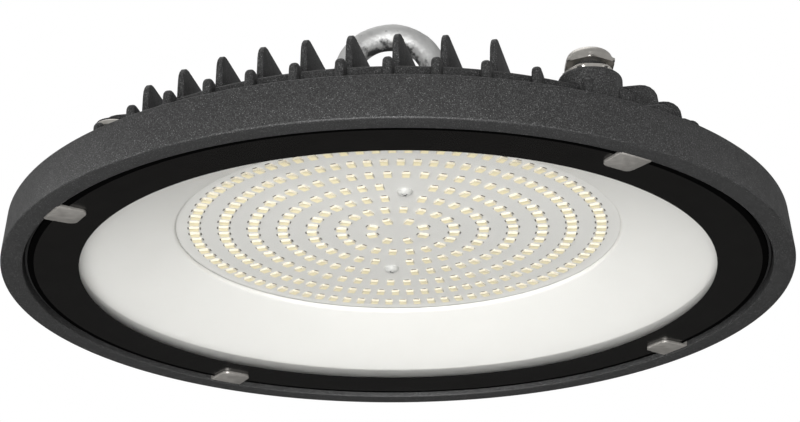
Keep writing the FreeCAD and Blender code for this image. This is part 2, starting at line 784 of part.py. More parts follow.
# ---- eye bolt with its washer and nut ----
def eye_bolt():
    centre = V(EYE_SHIFT, 0, EYE_SEAT + EYE_CENTRE_RISE)
    section = [
        centre + V(
            EYE_MEAN_R + EYE_ROD_D / 2 * math.cos(a), EYE_ROD_D / 2 * math.sin(a), 0)
        for a in (2 * math.pi * k / EYE_SECTION_SIDES for k in range(EYE_SECTION_SIDES))
    ]
    eye = Part.Face(Part.makePolygon(section + section[:1])).revolve(centre, V(0, 1, 0), 360)
    collar_top = EYE_SEAT + EYE_COLLAR_T
    stem = revolve([
        (0, EYE_SEAT - EYE_THREAD_L),
        (EYE_THREAD_D / 2 - SLIDE_GAP, EYE_SEAT - EYE_THREAD_L),
        (EYE_THREAD_D / 2 - SLIDE_GAP, EYE_SEAT),
        (EYE_COLLAR_D / 2, EYE_SEAT),
        (EYE_COLLAR_D / 2, collar_top),
        (EYE_NECK_D / 2, centre.z - EYE_MEAN_R),
        (0, centre.z - EYE_MEAN_R),
    ])
    return eye.fuse(stem).removeSplitter()


def eye_washer():
    return ring(WASHER_D / 2, EYE_THREAD_D / 2 + SCREW_GAP, POT_TOP - WASHER_T, POT_TOP)


def eye_nut():
    top = POT_TOP - WASHER_T
    nut = hexagon(NUT_AF, top - NUT_T, top, V(0, 0, 0), 0)
    return nut.cut(cylinder(EYE_THREAD_D, 0, POT_TOP))


# ---- driver ----
def driver_board():
    board = box(DRIVER_L, DRIVER_W, DRIVER_T, V(0, 0, 0), BOARD_Z)
    for x, y in standoff_places():
        board = board.cut(cylinder(
            DRIVER_SCREW_D + 2 * SCREW_GAP, BOARD_Z - 1, COMPONENT_Z + 1, V(x, y, 0)))
    return board


def driver_screws():
    return Part.makeCompound([
        hex_screw(
            V(x, y, 0), COMPONENT_Z, DRIVER_SCREW_AF, DRIVER_SCREW_HEAD_T,
            DRIVER_SCREW_D - 2 * SLIDE_GAP, DRIVER_SCREW_L,
        )
        for x, y in standoff_places()
    ])


def transformer_core():
    core = box(CORE_L, CORE_W, CORE_H, V(CORE_X, CORE_Y, 0), COMPONENT_Z)
    return core.cut(transformer_coil())


def transformer_coil():
    return box(
        CORE_L - 2 * CORE_LIMB, CORE_W + 2 * COIL_OVERHANG, CORE_H - 2 * CORE_YOKE,
        V(CORE_X, CORE_Y, 0), COMPONENT_Z + CORE_YOKE,
    )


def driver_capacitors():
    return Part.makeCompound([
        cylinder(CAP_D, COMPONENT_Z, COMPONENT_Z + CAP_H, V(CAP_X + k * CAP_PITCH, CAP_Y, 0))
        for k in range(CAP_COUNT)
    ])


def driver_choke():
    centre = V(CHOKE_X, CHOKE_Y, 0)
    outer = cylinder(CHOKE_D, COMPONENT_Z, COMPONENT_Z + CHOKE_T, centre)
    return outer.cut(cylinder(CHOKE_HOLE_D, 0, POT_TOP, centre))


def driver_terminals():
    centre = V(TERMINAL_X, TERMINAL_Y, 0)
    return box(TERMINAL_L, TERMINAL_W, TERMINAL_H, centre, COMPONENT_Z)


# ---- write every piece ----
PIECES = {
    "housing": housing,
    "front_glass": front_glass,
    "glass_gasket": glass_gasket,
    "reflector": reflector,
    "led_board": led_board,
    "thermal_pad": thermal_pad,
    "board_screws": board_screws,
    "gland_body": gland_body,
    "gland_o_ring": gland_o_ring,
    "gland_cap": gland_cap,
    "gland_seal": gland_seal,
    "vent_plug": vent_plug,
    "vent_o_ring": vent_o_ring,
    "driver_cover": driver_cover,
    "cover_gasket": cover_gasket,
    "cover_screws": cover_screws,
    "eye_bolt": eye_bolt,
    "eye_washer": eye_washer,
    "eye_nut": eye_nut,
    "driver_board": driver_board,
    "driver_screws": driver_screws,
    "transformer_core": transformer_core,
    "transformer_coil": transformer_coil,
    "driver_capacitors": driver_capacitors,
    "driver_choke": driver_choke,
    "driver_terminals": driver_terminals,
}


def main():
    os.makedirs("parts", exist_ok=True)
    for name, make in PIECES.items():
        make().exportStep("parts/" + name + ".step")
    for index in range(len(RING_COUNTS)):
        led_ring(index).exportStep("parts/led_ring_%d.step" % (index + 1))
    for index, turn in enumerate(clip_turns()):
        clip(turn).exportStep("parts/clip_%d.step" % (index + 1))


main()
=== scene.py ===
import math

import bmesh
import bpy
from mathutils import Matrix, Vector, noise

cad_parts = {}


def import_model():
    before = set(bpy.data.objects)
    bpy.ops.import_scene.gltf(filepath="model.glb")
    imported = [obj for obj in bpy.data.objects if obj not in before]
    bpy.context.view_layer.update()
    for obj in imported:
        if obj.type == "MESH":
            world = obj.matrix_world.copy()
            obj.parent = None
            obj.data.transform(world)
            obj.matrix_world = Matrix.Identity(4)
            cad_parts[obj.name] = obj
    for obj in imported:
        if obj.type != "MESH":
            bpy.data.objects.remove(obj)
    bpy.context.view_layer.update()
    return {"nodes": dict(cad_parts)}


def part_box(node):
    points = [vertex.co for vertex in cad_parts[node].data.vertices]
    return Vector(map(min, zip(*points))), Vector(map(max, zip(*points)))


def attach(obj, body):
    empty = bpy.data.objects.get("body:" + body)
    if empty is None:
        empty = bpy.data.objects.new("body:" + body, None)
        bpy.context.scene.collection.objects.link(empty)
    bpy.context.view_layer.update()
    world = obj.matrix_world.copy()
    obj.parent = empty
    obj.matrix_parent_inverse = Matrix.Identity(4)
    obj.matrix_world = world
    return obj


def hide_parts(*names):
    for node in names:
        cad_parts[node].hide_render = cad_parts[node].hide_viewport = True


# High bay light with its looks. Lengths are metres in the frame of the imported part: +Z is up,
# away from the lit face. Azimuths are degrees from -Y towards +X.
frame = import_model()

MM = 0.001
HAIR = 0.01 * MM                # too small to see
ORIGIN = Vector((0, 0, 0))

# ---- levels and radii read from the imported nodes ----
HOUSING_LOW, HOUSING_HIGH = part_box("housing")
GLASS_LOW, GLASS_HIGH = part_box("front_glass")
GASKET_LOW, GASKET_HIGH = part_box("glass_gasket")
REFLECTOR_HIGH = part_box("reflector")[1]
BOARD_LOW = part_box("led_board")[0]
PAD_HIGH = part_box("thermal_pad")[1]
COVER_LOW, COVER_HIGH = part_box("driver_cover")
COVER_SCREW_LOW, COVER_SCREW_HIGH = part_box("cover_screws")
SCREWS_LOW, SCREWS_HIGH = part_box("board_screws")
EYE_LOW, EYE_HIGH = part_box("eye_bolt")
GLAND_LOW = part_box("gland_body")[0]
SEAL_LOW, SEAL_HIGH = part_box("gland_seal")
VENT_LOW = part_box("vent_plug")[0]
CLIP_LOW, CLIP_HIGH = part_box("clip_1")

RIM_R = HOUSING_HIGH.x
SEAT_Z = GASKET_HIGH.z
DECK_Z = PAD_HIGH.z
POT_R = COVER_HIGH.x
POT_TOP = COVER_LOW.z

# ---- rim, seat and deck ----
RIM_FOOT = HOUSING_LOW.z + HAIR # keeps the looks inside the solids' box
RIM_HEIGHT = 15.85 * MM
RIM_TOP_R = RIM_R - 1.8 * MM
RIM_WALL = 4.0 * MM
LIP_INNER_R = 132.2 * MM
LIP_ROUND = 0.5 * MM
RIM_FOOT_ROUND = 0.6 * MM
RIM_TOP_ROUND = 0.9 * MM
SEAT_T = 4.3 * MM
SEAT_TOP = SEAT_Z + SEAT_T
SEAT_INNER_R = 119.0 * MM
DECK_TOP = DECK_Z + 6.2 * MM
DECK_EDGE_R = 120.0 * MM
DECK_FOOT_R = 122.5 * MM
CAST_FILLET = 1.2 * MM
SLOT_WIDTH = 12.8 * MM
SLOT_DEPTH_R = 132.7 * MM
SLOT_SIDE = 0.01               # degrees from a slot wall to the azimuths beside it
BITE = 0.6 * MM                # how far a cast feature runs into its neighbour

# ---- fins and the nubs at their roots ----
SECTORS = 4
FIN_TURN = -11.6
FIN_PITCH = 14.86 * MM
FINS_PER_SIDE = 6
FIN_T = 2.9 * MM
FIN_TIP_T = 1.9 * MM
FIN_TOP = 44.3 * MM
FIN_OUTER_R = 112.6 * MM
FIN_CORNER = 6.0 * MM
LOW_FIN_TOP = 31.0 * MM
SIDE_DROP = 1.0 * MM           # how much lower the left and right sectors stand
FIN_DIAGONAL_GAP = 2.6 * MM
FIN_EDGE = 0.6 * MM
PLATE_BEVELS = 3
SPANNER_ROOM = 15.0 * MM       # clear of tall fins, round the cable boss
BOSS_ROOM = 13.0 * MM          # and round the vent boss
NUB_OUTER_R = 124.6 * MM
NUB_INNER_R = 116.8 * MM
NUB_TOP = 29.4 * MM
NUB_T = 3.7 * MM
NUB_TIP_T = 3.0 * MM
NUB_SHIFT = -0.5 * MM          # from the fin's middle plane
NUB_CORNER = 3.0 * MM
NUB_TOE_TOP = 15.4 * MM
NUB_EDGE = 1.3 * MM

# ---- bosses ----
BOSS_R = 114.0 * MM
CABLE_TURN = FIN_TURN + 180.0 / SECTORS
VENT_TURN = CABLE_TURN - 360.0 / SECTORS
CABLE_BOSS_D = 21.0 * MM
CABLE_BOSS_TOP = 34.0 * MM
VENT_BOSS_D = 17.0 * MM
VENT_BOSS_TOP = 29.6 * MM
BOSS_ROUND = 1.6 * MM
POT_WALL = 4.0 * MM

# ---- glass, gasket and clips ----
WINDOW_R = 112.7 * MM          # inner edge of the black print
PRINT_R = 128.4 * MM           # its outer edge; beyond it a dead black ring, painted shade for the dark groove by the lip
GLASS_CHAMFER = 0.4 * MM
GASKET_INNER_R = 123.6 * MM    # 0.6 mm wider than the solid, to match the photograph
GASKET_COLLAR_R = 130.6 * MM
GASKET_ROUND = 0.2 * MM
CLIP_TURNS = [34.75, 126.25, 211.5, 299.75]
CLIP_ROOT_W = 12.6 * MM
CLIP_TIP_W = 11.4 * MM
CLIP_TIP_R = 121.2 * MM
CLIP_BACK_R = 132.6 * MM
CLIP_T = 1.0 * MM
CLIP_CORNER = 2.4 * MM
CLIP_BEND = 1.3 * MM           # outer radius of the bend at the root
CLIP_EDGE = 0.14 * MM
CLIP_CORNER_ANGLE = math.radians(50)

# ---- reflector ----
REFLECTOR_INNER_R = 79.5 * MM
REFLECTOR_MOUTH_R = 113.6 * MM
REFLECTOR_T = 0.8 * MM
REFLECTOR_COLLAR = 1.4 * MM
REFLECTOR_BEND = 1.6 * MM
REFLECTOR_FLANGE_R = 123.4 * MM  # 1.8 mm wider than the solid, to match the photograph
FLANGE_GAP = 0.1 * MM          # between the flange and the back of the glass

# ---- LED packages: (places, azimuth of one place) from the inside ----
RING_FIRST_R = 9.85 * MM
RING_STEP = 10.49 * MM
RING_PLACES = [
    (8, -21.5), (20, 5.5), (30, 3.8), (42, 0.0), (52, 3.2), (70, 1.0), (84, -1.4),
]
SCREW_CLEARANCE = 6.3 * MM
LED_LENGTH = 3.5 * MM          # radial
LED_WIDTH = 2.8 * MM
LED_ROUND = 0.25 * MM
LED_FRAME = 0.20 * MM          # white wall round the phosphor
LED_CUP = 0.06 * MM
SOLDER_LENGTH = 0.45 * MM      # radial
SOLDER_WIDTH = 1.9 * MM
SOLDER_T = 0.08 * MM
SOLDER_GAP = 0.22 * MM

# ---- board screws ----
BOARD_SCREW_R = 37.0 * MM
BOARD_SCREW_TURN = 3.8
BOARD_SCREW_HEAD_D = 5.4 * MM
BOARD_SCREW_D = 2.8 * MM
DRIVE_WIDTH = 0.62 * MM
DRIVE_SPAN = 2.9 * MM          # tip to tip
DRIVE_DEPTH = 1.1 * MM
DRIVE_SLOPE = 2.2              # how fast the recess deepens from its tips
DRIVE_WALL = DRIVE_WIDTH / 5
DRIVE_PAINTED_SHADE = DRIVE_DEPTH / 5  # deeper than this the recess is painted black as shade
DRIVE_TURNS = [35, 55]
HEAD_POWER = 3                 # flattens the crown of the head

# ---- gland and vent plug ----
GLAND_AF = 15.6 * MM
GLAND_CORNER_TURN = CABLE_TURN + 1.0
CAP_CORNER_TURN = CABLE_TURN - 31.0
GLAND_BODY_T = 1.2 * MM
GLAND_GAP = 2.2 * MM           # between the lower hexagon and the cap
GLAND_NECK_D = 11.0 * MM
GLAND_THREAD_D = 11.8 * MM
GLAND_CHAMFER = 0.7 * MM
DOME_STEP = 0.1 * MM           # ledge between the cap's hexagon and its dome
GLAND_FOOT = CABLE_BOSS_TOP + 0.6 * MM
CAP_HEX_T = 1.6 * MM
CAP_DOME_T = 3.3 * MM
CABLE_BORE_D = 6.5 * MM
CAP_WALL = 1.6 * MM
VENT_HEAD_D = 14.0 * MM
VENT_THREAD_D = 7.8 * MM
VENT_SEAT = VENT_BOSS_TOP + 0.6 * MM
VENT_RIM_T = 1.4 * MM
VENT_DOME_T = 2.0 * MM
VENT_FULLNESS = 0.7            # under 1 the dome is fuller than an ellipse
VENT_BORE_D = 2.0 * MM

# ---- driver cover and its screws ----
COVER_T = 4.0 * MM
COVER_EDGE = 1.0 * MM
COVER_BOSS_D = 30.0 * MM
COVER_SCREWS = 6
COVER_SCREW_R = 47.6 * MM
COVER_SCREW_TURN = 20.0
COVER_SCREW_AF = 7.0 * MM
COVER_SCREW_D = 3.8 * MM
COVER_SCREW_CHAMFER = 0.4 * MM
COVER_TOP = POT_TOP + COVER_T

# ---- eye bolt ----
EYE_SHIFT = -2.2 * MM
EYE_ROD_D = 10.2 * MM
EYE_MEAN_R = 16.3 * MM
EYE_COLLAR_D = 24.0 * MM
EYE_COLLAR_T = 3.0 * MM
EYE_NECK_D = 13.0 * MM
EYE_THREAD_D = 9.8 * MM
EYE_NECK_ROUND = 1.0 * MM
EYE_LUMP = 0.35 * MM           # depth of the forging's unevenness
LUMPS = [(7 * MM, 0.45), (2.2 * MM, 0.25)]  # size and share of each noise in it
EYE_SEAT = COVER_HIGH.z
EYE_CENTRE = Vector((EYE_SHIFT, 0, EYE_HIGH.z - EYE_MEAN_R - EYE_ROD_D / 2))

# ---- mesh resolution ----
BODY_SEGMENTS = 360
SMALL_SEGMENTS = 96
ARC_STEPS = 5
DOME_STEPS = 15
HEAD_RINGS = 26
EYE_AROUND = 160
EYE_ACROSS = 48
WELD = MM / 1e4
SHARP_ANGLE = math.radians(32)
NOISE_RANGE = (0.3, 0.7)        # where most of a noise lies
GLASS_TINT = (0.992, 0.992, 0.986)


# ================= shapes =================
def at(azimuth, radius, z=0.0):
    """A point at an azimuth, measured from -Y towards +X."""
    a = math.radians(azimuth)
    return Vector((radius * math.sin(a), -radius * math.cos(a), z))


def placed(azimuth, radius, z=0.0):
    """The matrix that moves a part drawn facing -Y at the origin out to an azimuth."""
    turn = Matrix.Rotation(math.radians(azimuth), 4, "Z")
    return Matrix.Translation(at(azimuth, radius, z)) @ turn


def rounded(corners, steps=ARC_STEPS):
    """A closed outline through (u, v, radius) corners, each turned into an arc."""
    outline = []
    for k, (u, v, radius) in enumerate(corners):
        corner = Vector((u, v))
        if radius <= 0:
            outline.append(corner)
            continue
        back = Vector(corners[k - 1][:2]) - corner
        ahead = Vector(corners[(k + 1) % len(corners)][:2]) - corner
        half = back.angle(ahead) / 2
        back.normalize()
        ahead.normalize()
        centre = corner + (back + ahead).normalized() * radius / math.sin(half)
        start = corner + back * radius / math.tan(half) - centre
        end = corner + ahead * radius / math.tan(half) - centre
        first = math.atan2(start.y, start.x)
        sweep = math.atan2(start.x * end.y - start.y * end.x, start.dot(end))
        for step in range(steps + 1):
            a = first + sweep * step / steps
            outline.append(centre + Vector((math.cos(a), math.sin(a))) * radius)
    return outline


def even_angles(count, start=0.0):
    return [start + 360.0 * k / count for k in range(count)]


def skin(made, rows, closed=False):
    """Faces between each row of vertices and the next, and from the last to the first."""
    following = rows[1:] + (rows[:1] if closed else [])
    for row, after in zip(rows, following):
        for i in range(len(row)):
            made.faces.new((row[i - 1], row[i], after[i], after[i - 1]))


def bevel(made, edges, offset, segments, clamp=False):
    bmesh.ops.bevel(
        made, geom=edges, offset=offset, segments=segments, profile=0.5, affect="EDGES",
        clamp_overlap=clamp,
    )


def lathe(profile, angles=None, centre=ORIGIN, limit=None):
    """A closed solid turned round a vertical axis.

    profile is a closed outline of (radius, height), or a function that gives one for an
    azimuth. limit gives the largest radius at an azimuth, which makes hexagons."""
    angles = angles or even_angles(SMALL_SEGMENTS)
    made = bmesh.new()
    rows = []
    for azimuth in angles:
        outline = profile(azimuth) if callable(profile) else profile
        most = limit(azimuth) if limit else math.inf
        rows.append([
            made.verts.new(centre + at(azimuth, min(r, most), z)) for r, z in outline
        ])
    skin(made, rows, closed=True)
    bmesh.ops.remove_doubles(made, verts=made.verts, dist=WELD)
    bmesh.ops.recalc_face_normals(made, faces=made.faces)
    return made


def dome(inner_r, outer_r, foot, rise, fullness=1.0):
    """The outline of a dome as (radius, height), from its foot towards its crown."""
    outline = []
    for step in range(DOME_STEPS):
        a = math.pi / 2 * step / DOME_STEPS
        out = inner_r + (outer_r - inner_r) * math.cos(a) ** fullness
        outline.append((out, foot + rise * math.sin(a)))
    return outline


def hexagon_limit(across_flats, corner_turn):
    """The radius of a hexagon at an azimuth, with a corner at corner_turn."""
    def limit(azimuth):
        from_flat = (azimuth - corner_turn) % 60.0 - 30.0
        return across_flats / 2 / math.cos(math.radians(from_flat))
    return limit


def add(target, part, place=None):
    """Copies one bmesh into another and frees it."""
    mesh = bpy.data.meshes.new("part")
    part.to_mesh(mesh)
    part.free()
    if place:
        mesh.transform(place)
    target.from_mesh(mesh)
    bpy.data.meshes.remove(mesh)


def scatter(template, places):
    """One bmesh with a copy of the template at each matrix."""
    mesh = bpy.data.meshes.new("template")
    template.to_mesh(mesh)
    template.free()
    result = bmesh.new()
    for place in places:
        copy = mesh.copy()
        copy.transform(place)
        result.from_mesh(copy)
        bpy.data.meshes.remove(copy)
    bpy.data.meshes.remove(mesh)
    return result


def piece(name, made, materials, replaces, sharp=SHARP_ANGLE):
    """Turns a bmesh into a smooth-shaded piece that rides on the body."""
    for edge in made.edges:
        edge.smooth = edge.calc_face_angle(0.0) < sharp
    for face in made.faces:
        face.smooth = True
    mesh = bpy.data.meshes.new(name)
    made.to_mesh(mesh)
    made.free()
    for material in materials:
        mesh.materials.append(material)
    obj = bpy.data.objects.new(name, mesh)
    bpy.context.scene.collection.objects.link(obj)
    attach(obj, "root")
    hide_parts(*replaces)
    return obj


# ================= materials =================
def grey(level):
    return (level, level, level)


class Finish:
    """A material in the making: a Principled shader and short calls that feed it."""

    def __init__(self, name, shader):
        self.material = bpy.data.materials.new(name)
        self.material.use_nodes = True
        self.tree = self.material.node_tree
        self.shader = self.tree.nodes["Principled BSDF"]
        for socket, value in shader.items():
            self.shader.inputs[socket].default_value = value
        self.coordinates = self.tree.nodes.new("ShaderNodeTexCoord").outputs["Object"]

    def feed(self, socket, value):
        """Links an output to a socket, or sets the socket to a value."""
        if isinstance(value, bpy.types.NodeSocket):
            self.tree.links.new(value, socket)
        elif isinstance(value, (tuple, list)):
            socket.default_value = (*value, 1.0)[:len(socket.default_value)]
        else:
            socket.default_value = value

    def node(self, kind, inputs, **settings):
        made = self.tree.nodes.new(kind)
        for name, value in settings.items():
            setattr(made, name, value)
        for key, value in inputs.items():
            self.feed(made.inputs[key], value)
        return made

    def stretched(self, scale):
        """The object's coordinates with a scale for each axis."""
        return self.node(
            "ShaderNodeMapping", {"Vector": self.coordinates, "Scale": scale},
        ).outputs["Vector"]

    def noise(self, size, detail=3.0, coordinates=None):
        """Soft noise whose features are about one size, from 0 to 1."""
        return self.node("ShaderNodeTexNoise", {
            "Vector": coordinates or self.coordinates, "Scale": 1.0 / size, "Detail": detail,
        }).outputs["Fac"]

    def cells(self, size):
        """Scattered points: the distance to the nearest, in cells, and a random value each."""
        made = self.node("ShaderNodeTexVoronoi", {
            "Vector": self.coordinates, "Scale": 1.0 / size,
        })
        chance = self.node("ShaderNodeSeparateColor", {"Color": made.outputs["Color"]})
        return made.outputs["Distance"], chance.outputs["Red"]

    def math(self, operation, first, second=0.0):
        made = self.node("ShaderNodeMath", {0: first, 1: second}, operation=operation)
        return made.outputs[0]

    def steps(self, value, low, high, out_low=0.0, out_high=1.0):
        """Maps a value from one range to another, with its ends held."""
        return self.node("ShaderNodeMapRange", {
            "Value": value, "From Min": low, "From Max": high,
            "To Min": out_low, "To Max": out_high,
        }).outputs["Result"]

    def mix(self, share, first, second):
        made = self.node("ShaderNodeMix", {0: share, 6: first, 7: second}, data_type="RGBA")
        return made.outputs[2]

    def colour(self, value):
        self.feed(self.shader.inputs["Base Color"], value)

    def rough(self, pattern, low, high):
        """Roughness that follows a noise from low to high."""
        self.feed(self.shader.inputs["Roughness"], self.steps(pattern, *NOISE_RANGE, low, high))

    def surface(self, output):
        """Puts another shader in the Principled one's place."""
        self.tree.nodes.remove(self.shader)
        self.tree.links.new(output, self.tree.nodes["Material Output"].inputs["Surface"])

    def see_through(self):
        return self.node("ShaderNodeBsdfTransparent", {"Color": GLASS_TINT}).outputs[0]

    def bump(self, height, depth, strength=1.0):
        made = self.node("ShaderNodeBump", {
            "Height": height, "Distance": depth, "Strength": strength,
        })
        self.feed(self.shader.inputs["Normal"], made.outputs["Normal"])


def powder_coat():
    """Dark grey paint with a fine orange peel and scattered bright flecks."""
    finish = Finish("powder coat", {"Specular IOR Level": 0.45})
    mottle = finish.noise(6 * MM)
    fine = finish.noise(0.36 * MM, 2.0)
    base = finish.mix(mottle, grey(0.0085), grey(0.0115))
    base = finish.mix(finish.steps(fine, 0.46, 0.62), base, grey(0.047))
    distance, chance = finish.cells(0.5 * MM)
    near = finish.steps(distance, 0.12, 0.30, 1.0, 0.0)
    fleck = finish.math("MULTIPLY", near, finish.steps(chance, 0.25, 1.0))
    finish.colour(finish.mix(fleck, base, grey(0.26)))
    finish.rough(mottle, 0.50, 0.60)
    finish.bump(fine, 0.05 * MM, 0.7)
    return finish.material


def clear_glass():
    """Flat glass: what is behind it shows straight through, under a faint mirror."""
    finish = Finish("clear glass", {})
    smudge = finish.noise(30 * MM)
    mirror = finish.node("ShaderNodeBsdfGlossy", {
        "Color": grey(1.0), "Roughness": finish.steps(smudge, *NOISE_RANGE, 0.02, 0.05),
    })
    slant = finish.node("ShaderNodeLayerWeight", {"Blend": 0.5}).outputs["Facing"]
    share = finish.steps(finish.math("POWER", slant, 5.0), 0.0, 1.0, 0.035, 1.0)
    both = finish.node("ShaderNodeMixShader", {
        0: share, 1: finish.see_through(), 2: mirror.outputs[0],
    })
    finish.surface(both.outputs[0])
    return finish.material


def glass_back():
    """The unprinted back of the pane, which adds no second mirror."""
    finish = Finish("glass back", {})
    finish.surface(finish.see_through())
    return finish.material


def black_print():
    """Glossy ceramic ink, a little brown."""
    finish = Finish("black print", {"Specular IOR Level": 0.35})
    finish.colour(finish.mix(
        finish.noise(8 * MM), (0.0042, 0.0040, 0.0037), (0.0062, 0.0058, 0.0053)))
    finish.rough(finish.noise(20 * MM), 0.16, 0.24)
    return finish.material


def painted_groove_shade():
    """Painted shade: a dead black ring round the pane for the dark groove by the lip, too matt
    to mirror anything.
    """
    finish = Finish("painted groove shade", {"Roughness": 0.95, "Specular IOR Level": 0.0})
    finish.colour(finish.mix(finish.noise(2 * MM), grey(0.0010), grey(0.0022)))
    return finish.material


def rubber(name, level):
    finish = Finish(name, {"Specular IOR Level": 0.3})
    finish.colour(finish.mix(finish.noise(4 * MM), grey(level), grey(level * 1.5)))
    finish.rough(finish.noise(1 * MM), 0.65, 0.8)
    finish.bump(finish.noise(0.3 * MM), 0.02 * MM)
    return finish.material


def satin_white(name, low, high, roughness):
    """White paint or plastic with a faint variation."""
    finish = Finish(name, {"Specular IOR Level": 0.4})
    finish.colour(finish.mix(finish.noise(14 * MM), low, high))
    finish.rough(finish.noise(5 * MM), roughness, roughness + 0.1)
    finish.bump(finish.noise(0.6 * MM), 0.01 * MM)
    return finish.material


def phosphor():
    """Pale yellow silicone over the LED chips."""
    finish = Finish("phosphor", {"Roughness": 0.35})
    finish.colour(finish.mix(finish.noise(0.8 * MM), (0.97, 0.86, 0.56), (0.98, 0.90, 0.64)))
    finish.bump(finish.noise(0.5 * MM), 0.02 * MM)
    return finish.material


def worn_metal(name, dark, light, rough_low, rough_high, grain=None, depth=0.02 * MM):
    """Bare or plated metal: cloudy colour, uneven gloss, and a brushed grain if asked."""
    finish = Finish(name, {"Metallic": 1.0})
    where = finish.stretched(grain) if grain else None
    clouds = finish.noise(1.6 * MM, 4.0, where)
    finish.colour(finish.mix(clouds, dark, light))
    finish.rough(finish.noise(0.9 * MM, 4.0, where), rough_low, rough_high)
    finish.bump(finish.noise(0.35 * MM, 3.0, where), depth)
    return finish.material


def clip_steel():
    """Brushed stainless strip, warm grey."""
    finish = Finish("clip steel", {"Metallic": 0.8})
    streaks = finish.noise(0.5 * MM, 3.0, finish.stretched((0.25, 1.0, 1.0)))
    finish.colour(finish.mix(streaks, (0.36, 0.345, 0.32), (0.54, 0.52, 0.49)))
    finish.rough(finish.noise(2.5 * MM), 0.42, 0.6)
    finish.bump(streaks, 0.03 * MM)
    return finish.material


def galvanised():
    """Hot-dip zinc on a forging: soft grey, darker in ragged patches on the inner side of the
    eye.
    """
    finish = Finish("galvanised", {"Metallic": 0.6})
    spangle = finish.noise(3.5 * MM, 3.0)
    parts = finish.node("ShaderNodeSeparateXYZ", {"Vector": finish.coordinates}).outputs
    side = finish.math("SUBTRACT", parts["X"], EYE_CENTRE.x)
    rise = finish.math("SUBTRACT", parts["Z"], EYE_CENTRE.z)
    out = finish.math("SQRT", finish.math(
        "ADD", finish.math("MULTIPLY", side, side), finish.math("MULTIPLY", rise, rise)))
    throat = finish.steps(
        out, EYE_MEAN_R - EYE_ROD_D / 2, EYE_MEAN_R - EYE_ROD_D / 8, 0.22, -0.10)
    ragged = finish.math("ADD", finish.noise(3.2 * MM, 5.0), throat)
    patch = finish.steps(ragged, 0.56, 0.70)
    zinc = finish.mix(spangle, (0.46, 0.46, 0.455), (0.68, 0.68, 0.67))
    finish.colour(finish.mix(patch, zinc, grey(0.09)))
    finish.rough(spangle, 0.45, 0.60)
    finish.bump(finish.noise(1.1 * MM, 5.0), 0.30 * MM, 0.8)
    return finish.material


def laminate(name, low, high):
    finish = Finish(name, {"Roughness": 0.4})
    finish.colour(finish.mix(finish.noise(3 * MM), low, high))
    finish.bump(finish.noise(0.5 * MM), 0.01 * MM)
    return finish.material


# ================= housing =================
def slot_edges():
    """Azimuths just each side of the two walls of every clip slot."""
    half = math.degrees(SLOT_WIDTH / 2 / LIP_INNER_R)
    edges = []
    for middle in CLIP_TURNS:
        for wall in (middle - half, middle + half):
            edges += [(wall - SLOT_SIDE) % 360, (wall + SLOT_SIDE) % 360]
    return edges


def in_slot(azimuth):
    half = math.degrees(SLOT_WIDTH / 2 / LIP_INNER_R)
    return any(abs((azimuth - middle + 180) % 360 - 180) < half for middle in CLIP_TURNS)


def rim_profile(azimuth):
    """The turned outline of the rim, seat and deck, with the lip cut back in a clip slot."""
    lip_r = SLOT_DEPTH_R if in_slot(azimuth) else LIP_INNER_R
    return rounded([
        (lip_r, RIM_FOOT, LIP_ROUND),
        (RIM_R, RIM_FOOT, RIM_FOOT_ROUND),
        (RIM_TOP_R, RIM_HEIGHT, RIM_TOP_ROUND),
        (RIM_TOP_R - RIM_WALL, RIM_HEIGHT, CAST_FILLET),
        (RIM_TOP_R - RIM_WALL, SEAT_TOP, CAST_FILLET),
        (DECK_FOOT_R, SEAT_TOP, CAST_FILLET),
        (DECK_EDGE_R, DECK_TOP, CAST_FILLET),
        (0, DECK_TOP, 0),
        (0, DECK_Z, 0),
        (SEAT_INNER_R, DECK_Z, CAST_FILLET),
        (SEAT_INNER_R, SEAT_Z, LIP_ROUND),
        (lip_r, SEAT_Z, LIP_ROUND),
    ])


def reach(radius, offset):
    """How far out a line parallel to a sector's centreline meets a circle."""
    return math.sqrt(radius ** 2 - offset ** 2)


def plate(outline, offset, base_t, tip_t, base_z, top_z, edge):
    """An upright plate along Y that thins towards its top, with its edges rounded.

    outline is the closed side view as (distance out, height)."""
    made = bmesh.new()
    sides = []
    for sign in (-1, 1):
        ring = []
        for out, z in outline:
            share = (z - base_z) / (top_z - base_z)
            half = (base_t + (tip_t - base_t) * share) / 2
            ring.append(made.verts.new((offset + sign * half, -out, z)))
        made.faces.new(ring)
        sides.append(ring)
    for k in range(len(outline)):
        made.faces.new((sides[0][k - 1], sides[0][k], sides[1][k], sides[1][k - 1]))
    bmesh.ops.recalc_face_normals(made, faces=made.faces)
    made.edges.ensure_lookup_table()
    rims = [e for e in made.edges if any(len(f.verts) > 4 for f in e.link_faces)]
    bevel(made, rims, edge, PLATE_BEVELS, clamp=True)
    return made


def nub(offset, top):
    """The low root of a fin, which crosses the channel behind the rim."""
    base = SEAT_TOP - BITE
    out = reach(NUB_OUTER_R, offset)
    toe = reach(RIM_TOP_R - RIM_WALL + BITE, offset)
    inner = reach(NUB_INNER_R, offset)
    outline = rounded([
        (inner, base, 0),
        (toe, base, 0),
        (toe, NUB_TOE_TOP, 0),
        (out, NUB_TOE_TOP, CAST_FILLET),
        (out, top, NUB_CORNER),
        (inner, top, 0),
    ])
    return plate(outline, offset + NUB_SHIFT, NUB_T, NUB_TIP_T, base, top, NUB_EDGE)


def near_boss(turn, offset, outer, inner):
    """Whether a fin passes too close to a boss to stand tall."""
    for boss_turn, room in ((CABLE_TURN, SPANNER_ROOM), (VENT_TURN, BOSS_ROOM)):
        a = math.radians(boss_turn - turn)
        side = BOSS_R * math.sin(a)
        out = BOSS_R * math.cos(a)
        along = min(max(out, inner), outer)
        if out > 0 and math.hypot(side - offset, out - along) < room:
            return True
    return False


